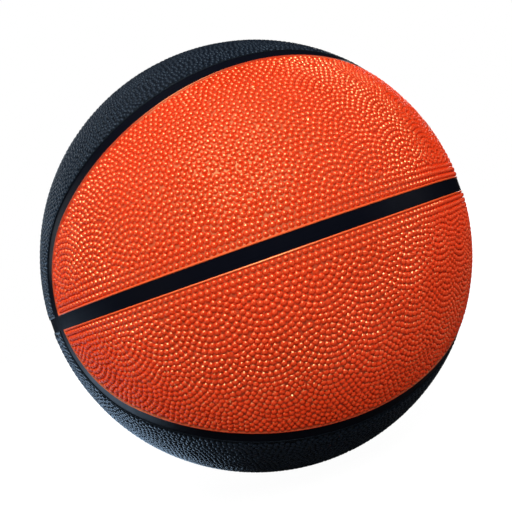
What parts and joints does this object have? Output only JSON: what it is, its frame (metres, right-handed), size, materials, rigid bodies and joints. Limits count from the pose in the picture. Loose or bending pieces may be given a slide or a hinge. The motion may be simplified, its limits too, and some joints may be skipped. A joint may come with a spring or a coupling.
{
  "type": "basketball",
  "caption": "Full-size rubber ball with orange and black pebbled panels, smooth sunken black ribs and a self-sealing needle valve.",
  "frame": {"origin": "centre of the ball", "axes": "+Z square to the equator rib, -Y through the middle of the front loop, which is the side the picture shows, +Y through the middle of the back loop, where the valve is, +X to the right as seen from the front"},
  "size_m": [0.2398, 0.2398, 0.2398],
  "materials": {
    "orange_rubber": "satin",
    "black_rubber": "satin",
    "rib_rubber": "satin",
    "butyl_rubber": "matte",
    "lining_rubber": "matte",
    "valve_rubber": "satin",
    "plug_rubber": "satin",
    "latex_thread": "matte"
  },
  "bodies": {
    "root": {"bladder": "butyl_rubber", "valve_flange": "butyl_rubber", "valve_housing": "valve_rubber", "valve_plug": "plug_rubber", "thread_winding": "latex_thread", "carcass_rubber": "lining_rubber", "equator_rib": "rib_rubber", "meridian_rib_upper": "rib_rubber", "meridian_rib_lower": "rib_rubber", "front_loop_rib_upper": "rib_rubber", "front_loop_rib_lower": "rib_rubber", "back_loop_rib_upper": "rib_rubber", "back_loop_rib_lower": "rib_rubber", "front_upper_orange_panel": "orange_rubber", "front_lower_orange_panel": "orange_rubber", "back_upper_orange_panel": "orange_rubber", "back_lower_orange_panel": "orange_rubber", "front_upper_black_panel": "black_rubber", "front_lower_black_panel": "black_rubber", "back_upper_black_panel": "black_rubber", "back_lower_black_panel": "black_rubber"}
  },
  "joints": []
}
